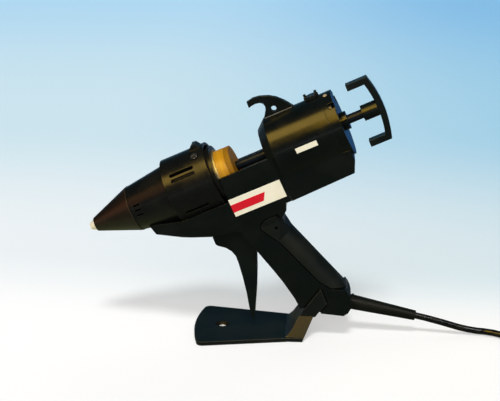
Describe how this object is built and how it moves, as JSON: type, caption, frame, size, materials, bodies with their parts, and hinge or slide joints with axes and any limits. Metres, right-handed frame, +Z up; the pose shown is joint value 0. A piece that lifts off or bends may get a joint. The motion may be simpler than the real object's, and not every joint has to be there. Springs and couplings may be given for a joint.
{
  "type": "hot glue applicator",
  "caption": "Pistol-grip hot glue applicator with a tilted heated barrel, an open slug-loading bay, a long trigger, a pull-back plunger, a coiled mains cord and a flat bench stand.",
  "frame": {"origin": "centre of the bench screw hole in the foot, on the bench top", "axes": "+X from the nozzle towards the rear of the gun, along the bench; +Y to the gun's far side (the label is on the -Y side); +Z up. The barrel axis rises 24.3 degrees from +X."},
  "size_m": [0.6096, 0.1204, 0.2621],
  "materials": {
    "body_plastic": "satin moulded",
    "grip_plastic": "fine texture",
    "trigger_plastic": "satin moulded",
    "black_steel": "gloss black",
    "brass": "turned",
    "cast_aluminium": "cast and bored",
    "bright_steel": "plated",
    "dark_steel": "blackened and polished",
    "piston_polymer": "amber, turned",
    "glue": "cloudy amber",
    "pale_plastic": "moulded",
    "board": "lacquered",
    "pot_plastic": "moulded",
    "lamp_lens": "clear lens",
    "label_ground": "printed film, blank",
    "label_red": "printed film, blank",
    "cord_rubber": "satin",
    "plug_plastic": "satin moulded",
    "fuse_cover": "moulded"
  },
  "bodies": {
    "gun": {"body_near": "body_plastic", "body_far": "body_plastic", "rear_housing": "body_plastic", "rear_cap": "body_plastic", "rod_gland": "body_plastic", "hook": "body_plastic", "panel_near": "grip_plastic", "panel_far": "grip_plastic", "nose_cone": "black_steel", "guard_cone": "black_steel", "collar": "black_steel", "inlet_flange": "black_steel", "stand": "black_steel", "nozzle": "brass", "plug_pins": "brass", "melt_chamber": "cast_aluminium", "inlet_ring": "cast_aluminium", "valve_ball": "bright_steel", "valve_spring": "bright_steel", "collar_screws": "bright_steel", "heater_near": "bright_steel", "heater_far": "bright_steel", "body_screws": "bright_steel", "cap_screws": "bright_steel", "pivot_pin": "bright_steel", "drive_spring": "bright_steel", "stand_screws": "bright_steel", "thermostat": "pale_plastic", "thermal_fuse": "pale_plastic", "terminal_block": "pale_plastic", "cord_clamp": "pale_plastic", "control_board": "board", "dial_pot": "pot_plastic", "pilot_lamp": "lamp_lens", "label_plate": "label_ground", "serial_plate": "label_ground", "label_band": "label_red", "strain_relief": "cord_rubber", "cord": "cord_rubber", "cord_coil": "cord_rubber", "coil_tie": "cord_rubber", "plug_body": "plug_plastic", "plug_fuse_cover": "fuse_cover"},
    "plunger": {"rod": "dark_steel", "piston": "piston_polymer", "slug": "glue", "handle_boss": "trigger_plastic", "pull_handle": "trigger_plastic"},
    "trigger": {"trigger": "trigger_plastic", "drive_pin": "bright_steel"},
    "drive": {"drive_bar": "bright_steel", "jam_plate": "dark_steel"},
    "dial": {"dial": "grip_plastic"}
  },
  "joints": [
    {"name": "plunger_slide", "type": "slide", "parent": "gun", "child": "plunger", "axis": [0.9114, 0, 0.4115], "range_m": [-0.013, 0.033]},
    {"name": "trigger_pull", "type": "hinge", "parent": "gun", "child": "trigger", "pos_m": [0.01215, 0, 0.11981], "axis": [0, -1, 0], "range_deg": [0, 18], "stiffness_Nm_per_rad": 1.5, "springref_deg": -6.88},
    {"name": "drive_slide", "type": "slide", "parent": "gun", "child": "drive", "axis": [-0.9114, 0, -0.4115], "range_m": [0, 0.0048], "deforming": ["drive_spring"]},
    {"name": "dial_turn", "type": "hinge", "parent": "gun", "child": "dial", "pos_m": [0.08654, 0, 0.24008], "axis": [-0.4115, 0, 0.9114], "range_deg": [-135, 135]}
  ],
  "couplings": [
    {"joint": "drive_slide", "follows": "trigger_pull", "m_per_rad": 0.015}
  ]
}
